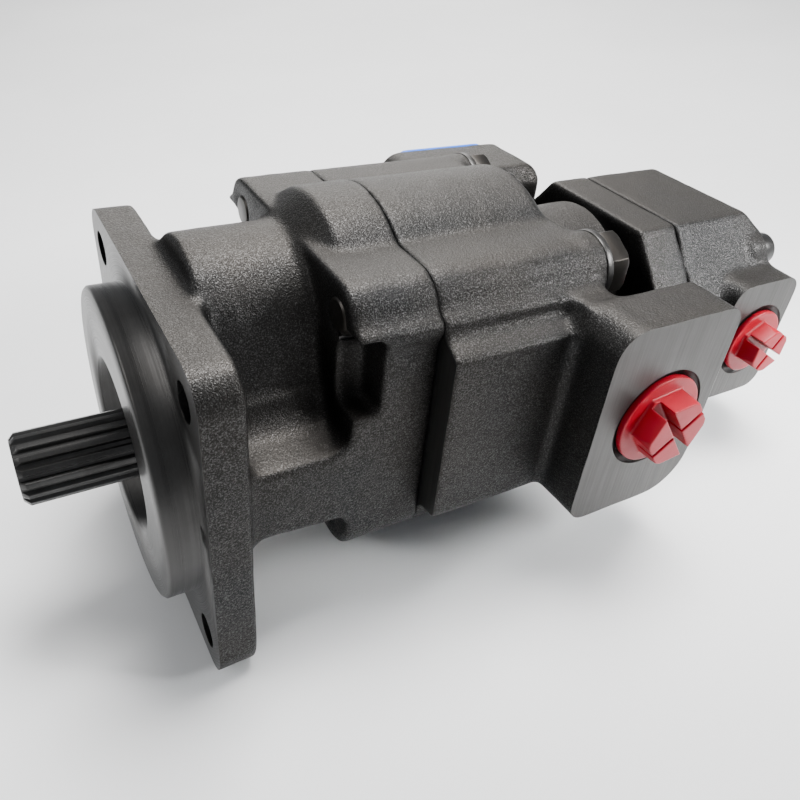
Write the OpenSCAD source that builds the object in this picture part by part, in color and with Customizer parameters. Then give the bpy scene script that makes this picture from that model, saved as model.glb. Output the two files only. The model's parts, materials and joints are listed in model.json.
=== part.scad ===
// Tandem hydraulic gear pump: a large front gear section and a smaller rear
// section on one drive line, behind a four-bolt mounting flange.
// X runs along the pump with the drive shaft towards -X, Y across, Z up.
// The origin is the centre of the flange's mounting face, on the drive axis.

/* [Mounting flange] */
// Distance between neighbouring flange bolt holes
flange_bolt_spacing = 114.5; // [113:0.5:116]
// Diameter of the flange bolt holes
flange_hole_d = 14.3; // [13:0.1:15]
// Width and height of the square flange
flange_w = 146; // [144:1:150]
// Thickness of the flange
flange_t = 16; // [15:0.5:16]
// Diameter of the locating pilot
pilot_d = 127; // [125:0.5:128]
// Height of the pilot above the mounting face
pilot_h = 12.7; // [11:0.1:14]
// Diameter of the open recess inside the pilot
recess_d = 72; // [68:1:76]

/* [Drive shaft] */
// Number of spline teeth
spline_teeth = 17; // [15:1:18]
// Outside diameter of the spline
spline_d = 28.575; // [27:0.005:30]
// Distance from the mounting face to the shaft end
shaft_reach = 51.3; // [48:0.1:56]
// Diameter of the shaft in its bushings
journal_d = 34; // [32:0.5:35]

/* [Front pump section] */
// Distance between the two gear axes
gear_spacing = 50.8; // [50.4:0.1:51.2]
// Teeth on each gear
gear_teeth = 12; // [11:1:13]
// Width of the gears
gear_w = 30; // [26:1:32]
// Thickness of the thrust plates
thrust_plate_t = 5.9; // [5:0.1:6.5]
// Half distance between the through bolts, across the pump
bolt_half_y = 46.4; // [46:0.1:47]
// Height of the upper through bolts above the upper gear axis
bolt_over_axis = 19.9; // [19.5:0.1:20.5]

/* [Rear pump section] */
// Distance between the two rear gear axes
rear_gear_spacing = 38.1; // [37.9:0.1:38.3]
// Teeth on each rear gear
rear_gear_teeth = 12; // [11:1:13]
// Width of the rear gears
rear_gear_w = 16; // [12:1:18]
// Thickness of the rear thrust plates
rear_plate_t = 4.9; // [4:0.1:5.2]

/* [Ports] */
// Bore of the main outlet port
outlet_bore_d = 31; // [29:0.5:33]
// Bore of the rear outlet port
rear_outlet_bore_d = 24.6; // [22:0.2:26]
// Bore of the common inlet port
inlet_bore_d = 38; // [34:1:40]

/* [Hidden] */

$fn = 96;
lap = 0.5;            // overlap of pieces that are fused in one casting
gap = 0.03;           // clearance of parts that are assembled by hand
running_gap = 0.05;   // radial clearance of shafts in their bushings
end_gap = 0.1;        // end float beside each thrust plate

iron = [0.36, 0.35, 0.34];
steel = [0.62, 0.62, 0.63];
black_steel = [0.13, 0.13, 0.14];
bronze = [0.72, 0.55, 0.32];
rubber = [0.08, 0.08, 0.08];
red_plastic = [0.85, 0.10, 0.13];
blue_plastic = [0.05, 0.40, 0.85];

// Planes along the pump
block_x = 56.6;       // front face of the bolted block
joint_x = 90;         // front cover to gear housing
plate_end_x = 141;    // rear end of the side plates
housing_x = 163;      // rear face of the gear housing
bolt_seat_x = 168;    // rear face of the bolt bosses
neck_x = 207;         // rear face of the neck
adapter_x = 213.5;    // front face of the rear mounting cover
rear_joint_x = 236.5; // rear mounting cover to rear gear housing
screw_seat_x = 290;   // seats of the rear cap screws
rear_x = 294;         // rear face of the rear gear housing

// Heights
mid_z = gear_spacing / 2;
rear_mid_z = rear_gear_spacing / 2;
bolt_z = [-bolt_over_axis, gear_spacing + bolt_over_axis];

// Main casting outline
lobe_r = 44.6;
boss_r = 14;
side_y = 64;          // side planes of the front cover
plate_y = 75.5;       // outer faces of the gear housing's side plates
pad_y = 97;           // machined faces of the main ports

// Gears
pressure_angle = 28;
backlash = 0.25;
cavity_r = gear_spacing / 2 * (1 + 2 / gear_teeth) + 0.22;
rear_cavity_r = rear_gear_spacing / 2 * (1 + 2 / rear_gear_teeth) + 0.2;
cavity_depth = gear_w + 2 * thrust_plate_t + 4 * end_gap;
rear_cavity_depth = rear_gear_w + 2 * rear_plate_t + 4 * end_gap;
gear_x = joint_x + thrust_plate_t + 2 * end_gap;
rear_gear_x = rear_joint_x + rear_plate_t + 2 * end_gap;
cavity_x = joint_x + cavity_depth;
rear_cavity_x = rear_joint_x + rear_cavity_depth;

// Bushings
journal_r = journal_d / 2;
bushing_r = journal_r + 5;
bushing_l = 26;
rear_journal_r = 11;
rear_bushing_r = rear_journal_r + 4;
rear_bushing_l = 19;

// Coupling between the two drive gears
coupling_teeth = 13;
coupling_r = 8.2;
coupling_front_x = 161;
coupling_back_x = 225;
shaft_back_x = 178;
rear_shaft_front_x = 209;

// Ports, as [x, z] of their centres
outlet_at = [178, mid_z];
inlet_at = [190.5, mid_z];
rear_outlet_at = [280, rear_mid_z];
rear_pad_y = 63;

// Fasteners
bolt_r = 7.9;
bolt_head_r = 13.9;
bolt_head_h = 10;
washer_t = 3;
washer_seat_r = 15.2;
rear_screw_r = 5;
rear_screw_y = 37;
rear_screw_z = [rear_mid_z - 34.9, rear_mid_z + 34.9];
adapter_screw_r = 4;
adapter_screw_y = 22;
adapter_seat_x = rear_joint_x - 9;
dowel_r = 4;
dowel_y = 56;
rear_dowel_r = 3;
rear_dowel_y = 46;

// ---------------------------------------------------------------- helpers

// Extrudes an outline drawn in (y, z) from x0 to x1
module along_x(x0, x1) {
    translate([x0, 0, 0]) rotate([90, 0, 90]) linear_extrude(x1 - x0) children();
}

// Extrudes an outline drawn in (x, z) from y0 to y1
module along_y(y0, y1) {
    translate([0, y1, 0]) rotate([90, 0, 0]) linear_extrude(y1 - y0) children();
}

// Round bar along X
module rod_x(x0, x1, r, y = 0, z = 0) {
    translate([x0, y, z]) rotate([0, 90, 0]) cylinder(h = x1 - x0, r = r);
}

// Cone along X, from radius r0 to radius r1
module cone_x(x0, x1, r0, r1, y = 0, z = 0) {
    translate([x0, y, z]) rotate([0, 90, 0]) cylinder(h = x1 - x0, r1 = r0, r2 = r1);
}

// Round bar along Y
module rod_y(y0, y1, r, x, z) {
    translate([x, y1, z]) rotate([90, 0, 0]) cylinder(h = y1 - y0, r = r);
}

// Sleeve along X
module sleeve_x(x0, x1, r_out, r_in, z = 0) {
    difference() {
        rod_x(x0, x1, r_out, 0, z);
        rod_x(x0 - 1, x1 + 1, r_in, 0, z);
    }
}

// Round passage between two points
module passage(start, end, r) {
    run = end - start;
    length = norm(run);
    translate(start) rotate([0, acos(run.z / length), atan2(run.y, run.x)])
        cylinder(h = length, r = r);
}

// Outline points along an arc, from one angle to another
function arc(cx, cz, r, from, to) =
    [for (step = [0:6]) let (a = from + (to - from) * step / 6) [cx + r * cos(a), cz + r * sin(a)]];

// A convex quarter arc of outline points, starting at the angle given
function corner(cx, cz, r, start) = arc(cx, cz, r, start, start + 90);

// Rectangle with four rounded corners
module rounded_rect(x0, x1, z0, z1, r) {
    polygon(concat(
        corner(x1 - r, z1 - r, r, 0), corner(x0 + r, z1 - r, r, 90),
        corner(x0 + r, z0 + r, r, 180), corner(x1 - r, z0 + r, r, 270)));
}

// Oval around two circles on the gear axes, with straight tangent sides
module oval(r_low, r_high, spacing) {
    lean = (r_low - r_high) / spacing;
    side = sqrt(1 - lean * lean);
    circle(r_low);
    translate([0, spacing]) circle(r_high);
    polygon([
        [r_low * side, r_low * lean], [r_high * side, spacing + r_high * lean],
        [-r_high * side, spacing + r_high * lean], [-r_low * side, r_low * lean]]);
}

// Two overlapping circles on the gear axes
module figure_eight(r, spacing) {
    circle(r);
    translate([0, spacing]) circle(r);
}

// Places a child at each of the four through bolts
module at_bolts() {
    for (side = [-1, 1], z = bolt_z) translate([0, side * bolt_half_y, z]) children();
}

// Angle, in degrees, that an involute has turned at radius r
function involute_turn(r, base_r) =
    let (a = acos(base_r / r)) tan(a) * 180 / PI - a;

// Points of a spur gear, with a tooth centred on +Z when turn is 0
function gear_points(teeth, spacing, turn) =
    let (
        pitch_r = spacing / 2,
        module_size = spacing / teeth,
        base_r = pitch_r * cos(pressure_angle),
        tip_r = pitch_r + module_size,
        root_r = pitch_r - 1.25 * module_size,
        half_tooth = 90 / teeth - backlash / 2 / pitch_r * 90 / PI,
        at_base = half_tooth + involute_turn(pitch_r, base_r),
        flank = [for (step = [0:6]) base_r + (tip_r - base_r) * step / 6],
        rising = concat([[root_r, -at_base]], [for (r = flank) [r, involute_turn(r, base_r) - at_base]]),
        falling = [for (i = [len(rising) - 1:-1:0]) [rising[i][0], -rising[i][1]]],
        tooth = concat(rising, falling)
    )
    [for (t = [0:teeth - 1], p = tooth)
        let (a = 90 + turn + t * 360 / teeth + p[1]) [p[0] * cos(a), p[0] * sin(a)]];

// Points of a straight-sided spline; grow widens it to make its socket
function spline_points(teeth, tip_r, root_r, grow = 0) =
    let (pitch = 360 / teeth, ease = grow / tip_r * 180 / PI)
    [for (t = [0:teeth - 1], p = [
        [root_r, -0.34 * pitch], [tip_r, -0.2 * pitch], [tip_r, 0.2 * pitch], [root_r, 0.34 * pitch]])
        let (a = t * pitch + p[1] + sign(p[1]) * ease, r = p[0] + grow) [r * cos(a), r * sin(a)]];

// ------------------------------------------------------- casting outlines

// Block with four bolt bosses, flat sides and a rounded ledge along each upper side
module block_outline() {
    low_r = side_y - bolt_half_y - 3;
    for (side = [-1, 1]) {
        translate([side * bolt_half_y, bolt_z[1]]) circle(boss_r);
        translate([side * (side_y - low_r), bolt_z[0]]) circle(low_r);
    }
    polygon([
        [low_r - side_y, bolt_z[0] - low_r], [side_y - low_r, bolt_z[0] - low_r],
        [side_y, bolt_z[0]], [side_y, 64], [side_y + 2, 66], [side_y + 2, 70],
        [side_y - 1.5, 72.6], [side_y - 3.6, 73], [bolt_half_y, bolt_z[1] + boss_r],
        [-bolt_half_y, bolt_z[1] + boss_r], [3.6 - side_y, 73], [1.5 - side_y, 72.6],
        [-side_y - 2, 70], [-side_y - 2, 66], [-side_y, 64], [-side_y, bolt_z[0]]]);
}

// The two round lobes over the gears
module lobe_outline() {
    oval(lobe_r, lobe_r, gear_spacing);
}

// Eight-sided outline of the rear section
module rear_outline() {
    top = 73.2;
    bottom = rear_gear_spacing - top;
    side = 57;
    slope_z = 30.6;
    polygon([
        [31.5, top], [side, top - slope_z], [side, bottom + slope_z], [31.5, bottom],
        [-31.5, bottom], [-side, bottom + slope_z], [-side, top - slope_z], [-31.5, top]]);
}

// --------------------------------------------------------------- castings

// Boss that carries a side port; side is -1 or 1, inner is its inner edge, and its top is flat from top_y out
module port_boss(side, x0, x1, inner, high, top_y) {
    low = -20.5;
    intersection() {
        along_x(x0, x1) polygon([
            [side * pad_y, low], [side * pad_y, high], [side * top_y, high],
            [side * inner, 48], [side * inner, 3], [side * 73.5, low]]);
        along_y(side > 0 ? inner - 1 : -pad_y - 1, side > 0 ? pad_y + 1 : 1 - inner)
            polygon(concat(
                corner(x1 - 8, high - 8, 8, 0), corner(x0 + 12, high - 12, 12, 90),
                corner(x0 + 9, low + 9, 9, 180), corner(x1 - 20, low + 20, 20, 270)));
    }
    // Shoulder between the boss and the side of the gear housing
    along_x(x0 + 3, bolt_seat_x - 3) polygon([
        [side * 82, low + 6], [side * 82, high - 7], [side * 76, high - 1.5], [side * 66, high - 1],
        [side * 50, high], [side * 50, -9], [side * 60, low + 3]]);
}

// Flange, pilot, neck, side webs and the bolted block of the front cover
module front_cover_body() {
    half = flange_w / 2;
    cone_x(-pilot_h, 1 - pilot_h, pilot_d / 2 - 1, pilot_d / 2);
    rod_x(1 - pilot_h, lap, pilot_d / 2);
    along_x(0, flange_t) rounded_rect(-half, half, -half, half, 14);
    along_x(flange_t - lap, block_x + lap) oval(45, 33.3, gear_spacing);
    // Side webs, flared where they meet the flange and the block
    back = block_x + lap;
    along_y(-side_y, side_y) polygon(concat(
        [[flange_t - lap, 30.5]], arc(flange_t + 8, 30.5, 8, 180, 270),
        arc(back - 11, 36.5, 14, 270, 321), [[back, 36], [back, -12]],
        arc(flange_t + 8, -17.5, 8, 90, 180), [[flange_t - lap, -17.5]]));
    // Fillet from the top of each web up to the neck
    for (side = [-1, 1]) along_x(flange_t - lap, back) polygon(concat(
        [[side * 30, 15], [side * (side_y - 2), 15], [side * (side_y - 2), 22.6], [side * 52, 24]],
        [for (p = arc(52, 36, 12, 270, 180)) [side * p[0], p[1]]], [[side * 30, 38]]));
    // Deep underside of the neck behind the flange
    intersection() {
        cone_x(flange_t - lap, 50, 59, 45);
        along_x(flange_t - 1, 51) translate([-70, -70]) square([140, 65]);
    }
    along_x(block_x, joint_x) block_outline();
    along_x(block_x + 10, joint_x) lobe_outline();
    for (z = [0, gear_spacing]) cone_x(block_x, block_x + 10 + lap, lobe_r - 10, lobe_r + lap, 0, z);
}

module front_cover() {
    half = flange_bolt_spacing / 2;
    seal_bore_r = 26;
    color(iron) difference() {
        intersection() {
            front_cover_body();
            union() {
                rod_x(-pilot_h - 1, block_x + 10, 120);
                along_x(block_x + 5, joint_x + 1) {
                    lobe_outline();
                    block_outline();
                }
            }
        }
        for (y = [-half, half], z = [-half, half]) rod_x(-1, flange_t + 1, flange_hole_d / 2, y, z);
        rod_x(-pilot_h - 1, 6, recess_d / 2);
        rod_x(5, 18.2, seal_bore_r + gap);
        rod_x(6.8, 8.3, seal_bore_r + 1.5);
        rod_x(18, block_x + 6, journal_r + 1.5);
        for (z = [0, gear_spacing]) rod_x(joint_x - bushing_l - 2, joint_x + 1, bushing_r + gap, 0, z);
        at_bolts() rod_x(block_x - 1, joint_x + 1, bolt_r + running_gap);
        // Pockets in the front corners of the block, open to the front
        for (side = [-1, 1]) along_y(side * 61 - 13, side * 61 + 13)
            rounded_rect(block_x - 8, block_x + 11, 36, 68.5, 3);
        for (side = [-1, 1]) rod_x(80, joint_x + 1, dowel_r + gap, side * dowel_y, mid_z);
    }
}

// Gear housing with both main ports and the neck to the rear section
module gear_housing_body() {
    taper = 5;
    along_x(joint_x, housing_x) block_outline();
    along_x(joint_x, housing_x - taper) lobe_outline();
    for (z = [0, gear_spacing]) cone_x(housing_x - taper - lap, housing_x, lobe_r, lobe_r - taper, 0, z);
    at_bolts() rod_x(housing_x - lap, bolt_seat_x, boss_r);
    for (side = [-1, 1]) intersection() {
        along_x(joint_x, plate_end_x) polygon([
            [side * 60, 64.5], [side * 69, 64], [side * plate_y, 60],
            [side * plate_y, -15], [side * (plate_y - 1.5), -16.5], [side * 60, -17]]);
        along_y(side * 70 - 12, side * 70 + 12) rounded_rect(joint_x - 10, plate_end_x, -25, 65, 4);
    }
    port_boss(-1, 143.5, 207.5, 56, 72, 73.5);
    port_boss(1, 150.5, 230.5, 50, 70, 63);
    along_x(housing_x - lap, neck_x) oval(35, 35, rear_gear_spacing);
}

module gear_housing() {
    color(iron) difference() {
        gear_housing_body();
        along_x(joint_x - 1, cavity_x) figure_eight(cavity_r, gear_spacing);
        along_x(joint_x - 1, joint_x + 1.8 + gap) difference() {
            oval(37.2 + gap, 37.2 + gap, gear_spacing);
            oval(34.8 - gap, 34.8 - gap, gear_spacing);
        }
        for (z = [0, gear_spacing]) rod_x(cavity_x - 1, cavity_x + bushing_l + 1, bushing_r + gap, 0, z);
        rod_x(cavity_x, neck_x + 1, journal_r + 1);
        at_bolts() rod_x(joint_x - 1, bolt_seat_x + 1, bolt_r + 0.3);
        for (side = [-1, 1]) rod_x(joint_x - 1, 100, dowel_r + gap, side * dowel_y, mid_z);
        for (side = [-1, 1]) rod_x(190, neck_x + 1, adapter_screw_r + running_gap, side * adapter_screw_y, rear_mid_z);
        // Spotfaces under the bolt washers
        at_bolts() rod_x(bolt_seat_x, bolt_seat_x + 15, washer_seat_r);
        // Clearance for the rear mounting cover behind the inlet boss
        along_x(adapter_x - 0.5, 232) translate([-58, -30]) square([116, 110]);
        // Outlet: spotface, threaded bore and the passage to the gears
        rod_y(-pad_y - 1, 1.5 - pad_y, 22.9, outlet_at[0], outlet_at[1]);
        rod_y(-pad_y, 19 - pad_y, outlet_bore_d / 2, outlet_at[0], outlet_at[1]);
        passage([172, -84, mid_z], [112, -8, mid_z], 10);
        // Inlet: bore, passage and four flange screw holes
        rod_y(pad_y - 19, pad_y + 1, inlet_bore_d / 2, inlet_at[0], inlet_at[1]);
        passage([182, 82, mid_z], [112, 8, mid_z], 15);
        for (dx = [-17.85, 17.85], dz = [-34.93, 34.93])
            rod_y(pad_y - 22, pad_y + 1, 5.4, inlet_at[0] + dx, inlet_at[1] + dz);
    }
}

module rear_mounting_cover() {
    spigot_r = 28;
    color(iron) difference() {
        union() {
            along_x(adapter_x, rear_joint_x) rear_outline();
            along_x(neck_x, adapter_x + lap) oval(spigot_r, spigot_r, rear_gear_spacing);
        }
        for (z = [0, rear_gear_spacing])
            rod_x(rear_joint_x - rear_bushing_l - 1, rear_joint_x + 1, rear_bushing_r + gap, 0, z);
        rod_x(neck_x - 1, rear_joint_x, rear_journal_r + 1);
        // Groove of the ring that seals the neck
        difference() {
            rod_x(neck_x - 1, neck_x + 2, 21.5 + gap);
            rod_x(neck_x - 2, neck_x + 3, 18.5 - gap);
        }
        for (side = [-1, 1]) {
            rod_x(neck_x - 1, rear_joint_x + 1, adapter_screw_r + 0.3, side * adapter_screw_y, rear_mid_z);
            rod_x(adapter_seat_x, rear_joint_x + 1, 6.7, side * adapter_screw_y, rear_mid_z);
            rod_x(230, rear_joint_x + 1, rear_dowel_r + gap, side * rear_dowel_y, rear_mid_z);
            for (z = rear_screw_z)
                rod_x(217, rear_joint_x + 1, rear_screw_r + running_gap, side * rear_screw_y, z);
        }
    }
}

module rear_gear_housing() {
    color(iron) difference() {
        union() {
            along_x(rear_joint_x, rear_x) rear_outline();
            along_y(-rear_pad_y, -36) rounded_rect(255, 300, -13, 52, 9);
        }
        // Sloped rear edges at the top and the bottom
        along_y(-80, 80) {
            polygon([[rear_x - 9, 73.2], [rear_x + 10, 54], [rear_x + 10, 80], [rear_x - 9, 80]]);
            polygon([[rear_x - 9, -35.1], [rear_x + 10, -16], [rear_x + 10, -42], [rear_x - 9, -42]]);
        }
        along_x(rear_joint_x - 1, rear_cavity_x) figure_eight(rear_cavity_r, rear_gear_spacing);
        along_x(rear_joint_x - 1, rear_joint_x + 1.5 + gap) difference() {
            oval(27 + gap, 27 + gap, rear_gear_spacing);
            oval(25 - gap, 25 - gap, rear_gear_spacing);
        }
        for (z = [0, rear_gear_spacing])
            rod_x(rear_cavity_x - 1, rear_cavity_x + rear_bushing_l + 1, rear_bushing_r + gap, 0, z);
        for (side = [-1, 1]) {
            rod_x(rear_joint_x - 1, 243, rear_dowel_r + gap, side * rear_dowel_y, rear_mid_z);
            for (z = rear_screw_z) {
                rod_x(rear_joint_x - 1, rear_x + 1, rear_screw_r + 0.3, side * rear_screw_y, z);
                rod_x(screw_seat_x, rear_x + 10, 10, side * rear_screw_y, z);
            }
        }
        rod_y(-rear_pad_y - 1, 1 - rear_pad_y, 19.6, rear_outlet_at[0], rear_outlet_at[1]);
        rod_y(-rear_pad_y, 15 - rear_pad_y, rear_outlet_bore_d / 2, rear_outlet_at[0], rear_outlet_at[1]);
        passage([276, -50, rear_mid_z], [250, -6, rear_mid_z], 6.5);
    }
}

// ----------------------------------------------------------- rotating set

module drive_gear_shaft() {
    tip_r = spline_d / 2;
    root_r = tip_r - 1.9;
    spline_end = -3;
    end_bevel = 2.2;
    cone_l = shaft_reach + spline_end + 1;
    color(black_steel) difference() {
        union() {
            intersection() {
                along_x(-shaft_reach, spline_end + lap) polygon(spline_points(spline_teeth, tip_r, root_r));
                cone_x(-shaft_reach, spline_end + 1, tip_r - end_bevel, tip_r - end_bevel + cone_l);
            }
            cone_x(spline_end - 1.5, spline_end + lap, tip_r + 0.8, journal_r);
            rod_x(spline_end + lap, shaft_back_x, journal_r);
            along_x(gear_x, gear_x + gear_w) polygon(gear_points(gear_teeth, gear_spacing, 0));
        }
        along_x(coupling_front_x - 1, shaft_back_x + 1)
            polygon(spline_points(coupling_teeth, coupling_r, coupling_r - 1.1, 0.08));
        // Centre drilling in the shaft end
        cone_x(-shaft_reach - 1, 3.5 - shaft_reach, 4, 0.6);
    }
}

module driven_gear_shaft() {
    ends = 24;
    color(steel) {
        rod_x(gear_x - thrust_plate_t - ends, gear_x + gear_w + thrust_plate_t + ends, journal_r, 0, gear_spacing);
        along_x(gear_x, gear_x + gear_w) translate([0, gear_spacing])
            polygon(gear_points(gear_teeth, gear_spacing, 180 / gear_teeth));
    }
}

module coupling_shaft() {
    color(steel) along_x(coupling_front_x, coupling_back_x)
        polygon(spline_points(coupling_teeth, coupling_r, coupling_r - 1.1));
}

module rear_drive_gear_shaft() {
    color(steel) difference() {
        union() {
            rod_x(rear_shaft_front_x, rear_cavity_x + rear_bushing_l - 1, rear_journal_r);
            along_x(rear_gear_x, rear_gear_x + rear_gear_w)
                polygon(gear_points(rear_gear_teeth, rear_gear_spacing, 0));
        }
        along_x(rear_shaft_front_x - 1, coupling_back_x + 1)
            polygon(spline_points(coupling_teeth, coupling_r, coupling_r - 1.1, 0.08));
    }
}

module rear_driven_gear_shaft() {
    color(steel) {
        rod_x(rear_joint_x - rear_bushing_l + 1, rear_cavity_x + rear_bushing_l - 1,
            rear_journal_r, 0, rear_gear_spacing);
        along_x(rear_gear_x, rear_gear_x + rear_gear_w) translate([0, rear_gear_spacing])
            polygon(gear_points(rear_gear_teeth, rear_gear_spacing, 180 / rear_gear_teeth));
    }
}

// ----------------------------------------------- bushings and thrust plates

// Plain bushing of the front section, starting at x
module bushing(x, z) {
    color(bronze) sleeve_x(x, x + bushing_l, bushing_r, journal_r + running_gap, z);
}

// Plain bushing of the rear section, starting at x
module rear_bushing(x, z) {
    color(bronze) sleeve_x(x, x + rear_bushing_l, rear_bushing_r, rear_journal_r + running_gap, z);
}

// Figure-eight plate with both shaft holes and a relief slot on each side
module thrust_plate(x, t, r, hole_r, spacing) {
    color(bronze) difference() {
        along_x(x, x + t) figure_eight(r, spacing);
        for (z = [0, spacing]) rod_x(x - 1, x + t + 1, hole_r, 0, z);
        for (side = [-1, 1]) rod_x(x - 1, x + t + 1, r * 0.16, side * r * 0.5, spacing / 2);
    }
}

module front_drive_bushing() { bushing(joint_x - bushing_l - end_gap, 0); }

module front_driven_bushing() { bushing(joint_x - bushing_l - end_gap, gear_spacing); }

module back_drive_bushing() { bushing(cavity_x + end_gap, 0); }

module back_driven_bushing() { bushing(cavity_x + end_gap, gear_spacing); }

module rear_section_front_drive_bushing() {
    rear_bushing(rear_joint_x - rear_bushing_l - end_gap, 0);
}

module rear_section_front_driven_bushing() {
    rear_bushing(rear_joint_x - rear_bushing_l - end_gap, rear_gear_spacing);
}

module rear_section_back_drive_bushing() { rear_bushing(rear_cavity_x + end_gap, 0); }

module rear_section_back_driven_bushing() {
    rear_bushing(rear_cavity_x + end_gap, rear_gear_spacing);
}

module front_thrust_plate() {
    thrust_plate(joint_x + end_gap, thrust_plate_t, cavity_r - 0.1, journal_r + 0.3, gear_spacing);
}

module back_thrust_plate() {
    thrust_plate(gear_x + gear_w + end_gap, thrust_plate_t, cavity_r - 0.1, journal_r + 0.3, gear_spacing);
}

module rear_section_front_thrust_plate() {
    thrust_plate(rear_joint_x + end_gap, rear_plate_t, rear_cavity_r - 0.1,
        rear_journal_r + 0.3, rear_gear_spacing);
}

module rear_section_back_thrust_plate() {
    thrust_plate(rear_gear_x + rear_gear_w + end_gap, rear_plate_t, rear_cavity_r - 0.1,
        rear_journal_r + 0.3, rear_gear_spacing);
}

// ------------------------------------------------------------------- seals

module shaft_seal() {
    color(rubber) difference() {
        rod_x(8.4, 18, 26);
        rod_x(8, 19, journal_r + running_gap);
        // Hollow behind the lip
        difference() {
            rod_x(12, 19, 23.5);
            rod_x(11, 20, journal_r + 2);
        }
    }
}

module seal_retaining_ring() {
    color(black_steel) difference() {
        rod_x(6.9, 8.2, 27.4);
        rod_x(6, 9, 24);
        along_x(6, 9) polygon([[0, 0], [8, -40], [-8, -40]]);
    }
}

// Square-section oval ring in the groove of a housing face
module face_seal(x, t, r_out, r_in, spacing) {
    color(rubber) along_x(x, x + t) difference() {
        oval(r_out, r_out, spacing);
        oval(r_in, r_in, spacing);
    }
}

module housing_seal() { face_seal(joint_x, 1.8, 37.2, 34.8, gear_spacing); }

module rear_housing_seal() { face_seal(rear_joint_x, 1.5, 27, 25, rear_gear_spacing); }

module adapter_o_ring() {
    color(rubber) translate([neck_x + 1, 0, 0]) rotate([0, 90, 0])
        rotate_extrude() translate([20, 0]) circle(0.98, $fn = 24);
}

// --------------------------------------------------------------- fasteners

// Four long bolts from the housing's rear bosses into the front cover
module through_bolts() {
    color(black_steel) at_bolts() {
        cone_x(block_x + 0.2, block_x + 2.4, bolt_r - 2.2, bolt_r);
        rod_x(block_x + 2.4, bolt_seat_x + washer_t + lap, bolt_r);
        translate([bolt_seat_x + washer_t, 0, 0]) rotate([0, 90, 0]) intersection() {
            cylinder(h = bolt_head_h, r = bolt_head_r, $fn = 6);
            cylinder(h = bolt_head_h, r1 = bolt_head_r + 8, r2 = bolt_head_r - 1.2);
        }
    }
}

module bolt_washers() {
    color(steel) at_bolts() difference() {
        rod_x(bolt_seat_x, bolt_seat_x + washer_t, 14.6);
        rod_x(bolt_seat_x - 1, bolt_seat_x + washer_t + 1, bolt_r + 0.3);
    }
}

// Socket-head screw with its head at the rear, seated at seat_x
module socket_screw(tip_x, seat_x, r, head_r, head_h) {
    difference() {
        union() {
            rod_x(tip_x, seat_x + lap, r);
            rod_x(seat_x, seat_x + head_h, head_r);
        }
        translate([seat_x + head_h / 2, 0, 0]) rotate([0, 90, 0])
            cylinder(h = head_h, r = head_r * 0.54, $fn = 6);
    }
}

module rear_cap_screws() {
    color(black_steel) for (side = [-1, 1], z = rear_screw_z)
        translate([0, side * rear_screw_y, z]) socket_screw(219, screw_seat_x, rear_screw_r, 8, 10);
}

module adapter_screws() {
    color(black_steel) for (side = [-1, 1])
        translate([0, side * adapter_screw_y, rear_mid_z])
            socket_screw(192, adapter_seat_x, adapter_screw_r, 6.5, 8);
}

module dowel_pins() {
    color(steel) for (side = [-1, 1]) rod_x(81, 99, dowel_r, side * dowel_y, mid_z);
}

module rear_dowel_pins() {
    color(steel) for (side = [-1, 1]) rod_x(231, 242, rear_dowel_r, side * rear_dowel_y, rear_mid_z);
}

// ------------------------------------------------------- plugs and the cap

// Threaded plastic plug: a flange and a tapered hexagon slotted both ways
module port_plug(at, face_y, stem_r, stem_l, flange_r, hex_r, turn) {
    flange_h = 3;
    hex_h = 10;
    slot_depth = 8;
    color(red_plastic) translate([at[0], face_y, at[1]]) rotate([90, -turn, 0]) difference() {
        union() {
            translate([0, 0, -stem_l]) cylinder(h = stem_l + lap, r = stem_r);
            cylinder(h = flange_h, r = flange_r);
            intersection() {
                cylinder(h = flange_h + hex_h, r = hex_r, $fn = 6);
                cylinder(h = flange_h + hex_h, r1 = hex_r + 0.6, r2 = hex_r - 0.9);
            }
        }
        translate([0, 0, -stem_l - 1]) cylinder(h = stem_l - 2, r = stem_r - 3);
        translate([0, 0, flange_h + hex_h - slot_depth]) rotate([0, 0, 120])
            translate([-hex_r - 1, -hex_r * 0.13, 0]) cube([2 * hex_r + 2, hex_r * 0.26, hex_h]);
        translate([0, 0, flange_h + hex_h - slot_depth]) rotate([0, 0, 30])
            translate([-hex_r - 1, -hex_r * 0.05, 0]) cube([2 * hex_r + 2, hex_r * 0.1, hex_h]);
    }
}

module outlet_plug() { port_plug(outlet_at, 1.5 - pad_y, outlet_bore_d / 2 - 0.2, 14, 20.3, 15.6, 7); }

module rear_outlet_plug() {
    port_plug(rear_outlet_at, 1 - rear_pad_y, rear_outlet_bore_d / 2 - 0.2, 11, 16.7, 12, 28);
}

// Push-in cover of the inlet flange face
module inlet_cap() {
    color(blue_plastic) difference() {
        union() {
            along_y(pad_y, pad_y + 3.2) rounded_rect(158, 223, -19.2, 70, 11);
            rod_y(pad_y - 12, pad_y + lap, inlet_bore_d / 2 - 0.2, inlet_at[0], inlet_at[1]);
        }
        rod_y(pad_y - 13, pad_y + 1, inlet_bore_d / 2 - 2.4, inlet_at[0], inlet_at[1]);
    }
}

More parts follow.
